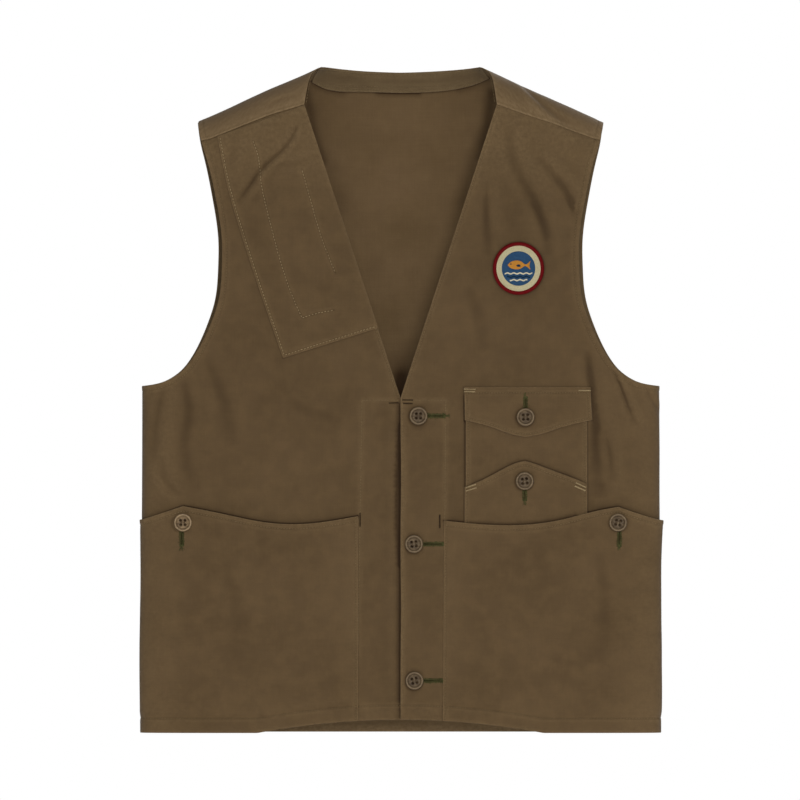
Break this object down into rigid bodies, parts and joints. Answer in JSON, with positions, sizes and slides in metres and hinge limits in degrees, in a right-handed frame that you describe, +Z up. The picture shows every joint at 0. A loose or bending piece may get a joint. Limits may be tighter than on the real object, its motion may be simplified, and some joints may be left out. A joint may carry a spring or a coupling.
{
  "type": "fishing vest",
  "caption": "Sleeveless button-front cotton vest with large patch pockets, a flapped chest pocket, a stitched shoulder patch and a round sewn badge.",
  "frame": {"origin": "midway between the two places where the vest rests on the shoulders, at the sides of the neck", "axes": "+Z up, the front of the vest faces -Y, and +X is the wearer's left"},
  "size_m": [0.5482, 0.1007, 0.6993],
  "materials": {
    "vest_cloth": "matt olive-brown cotton twill",
    "facing_cloth": "matt olive-brown cotton, inner face",
    "patch_cloth": "matt olive-brown cotton twill",
    "badge_twill": "cream twill",
    "badge_border_thread": "dark red overlocked thread",
    "badge_blue_thread": "blue embroidery",
    "badge_motif_thread": "ochre embroidery",
    "button_horn": "mottled brown, polished",
    "buttonhole_thread": "green buttonhole stitching",
    "seam_thread": "tan sewing thread"
  },
  "bodies": {
    "torso": {"back_panel": "vest_cloth", "neckband": "facing_cloth", "right_upper_front": "vest_cloth", "left_upper_front": "vest_cloth", "right_armhole_facing": "facing_cloth", "left_armhole_facing": "facing_cloth", "shoulder_patch": "patch_cloth", "badge_backing": "badge_twill", "badge_border": "badge_border_thread", "badge_field": "badge_blue_thread", "badge_motif": "badge_motif_thread"},
    "right_front": {"right_front": "vest_cloth", "right_placket": "facing_cloth", "right_lower_pocket": "vest_cloth", "right_pocket_buttonhole": "buttonhole_thread", "right_bartacks": "seam_thread"},
    "left_front": {"left_front": "vest_cloth", "left_placket": "facing_cloth", "left_lower_pocket": "vest_cloth", "left_pocket_buttonhole": "buttonhole_thread", "upper_chest_pocket": "vest_cloth", "lower_chest_pocket": "vest_cloth", "chest_pocket_buttonhole": "buttonhole_thread", "front_buttonholes": "buttonhole_thread", "left_bartacks": "seam_thread"},
    "chest_pocket_flap": {"chest_pocket_flap": "vest_cloth", "flap_buttonhole": "buttonhole_thread"},
    "front_button_top": {"front_button_top": "button_horn", "front_button_top_thread": "seam_thread"},
    "front_button_middle": {"front_button_middle": "button_horn", "front_button_middle_thread": "seam_thread"},
    "front_button_bottom": {"front_button_bottom": "button_horn", "front_button_bottom_thread": "seam_thread"},
    "flap_button": {"flap_button": "button_horn", "flap_button_thread": "seam_thread"},
    "chest_pocket_button": {"chest_pocket_button": "button_horn", "chest_pocket_button_thread": "seam_thread"},
    "right_pocket_button": {"right_pocket_button": "button_horn", "right_pocket_button_thread": "seam_thread"},
    "left_pocket_button": {"left_pocket_button": "button_horn", "left_pocket_button_thread": "seam_thread"}
  },
  "joints": [
    {"name": "right_front_swing", "type": "hinge", "parent": "torso", "child": "right_front", "pos_m": [-0.268, 0, -0.516], "axis": [0, 0, -1], "range_deg": [0, 50]},
    {"name": "left_front_swing", "type": "hinge", "parent": "torso", "child": "left_front", "pos_m": [0.268, 0, -0.516], "axis": [0, 0, 1], "range_deg": [0, 50]},
    {"name": "flap_lift", "type": "hinge", "parent": "left_front", "child": "chest_pocket_flap", "pos_m": [0.13335, -0.0437, -0.333], "axis": [-1, 0, 0], "range_deg": [0, 140]},
    {"name": "front_button_top_twist", "type": "hinge", "parent": "right_front", "child": "front_button_top", "pos_m": [0.0189, -0.0439, -0.363], "axis": [0, -1, 0], "range_deg": [-25, 25]},
    {"name": "front_button_middle_twist", "type": "hinge", "parent": "right_front", "child": "front_button_middle", "pos_m": [0.0142, -0.0439, -0.4975], "axis": [0, -1, 0], "range_deg": [-25, 25]},
    {"name": "front_button_bottom_twist", "type": "hinge", "parent": "right_front", "child": "front_button_bottom", "pos_m": [0.0147, -0.0439, -0.641], "axis": [0, -1, 0], "range_deg": [-25, 25]},
    {"name": "flap_button_twist", "type": "hinge", "parent": "left_front", "child": "flap_button", "pos_m": [0.1313, -0.0509, -0.3642], "axis": [0, -1, 0], "range_deg": [-25, 25]},
    {"name": "chest_pocket_button_twist", "type": "hinge", "parent": "left_front", "child": "chest_pocket_button", "pos_m": [0.1304, -0.0551, -0.4314], "axis": [0, -1, 0], "range_deg": [-25, 25]},
    {"name": "right_pocket_button_twist", "type": "hinge", "parent": "right_front", "child": "right_pocket_button", "pos_m": [-0.2285, -0.0495, -0.475], "axis": [0, -1, 0], "range_deg": [-25, 25]},
    {"name": "left_pocket_button_twist", "type": "hinge", "parent": "left_front", "child": "left_pocket_button", "pos_m": [0.2285, -0.0495, -0.475], "axis": [0, -1, 0], "range_deg": [-25, 25]}
  ]
}
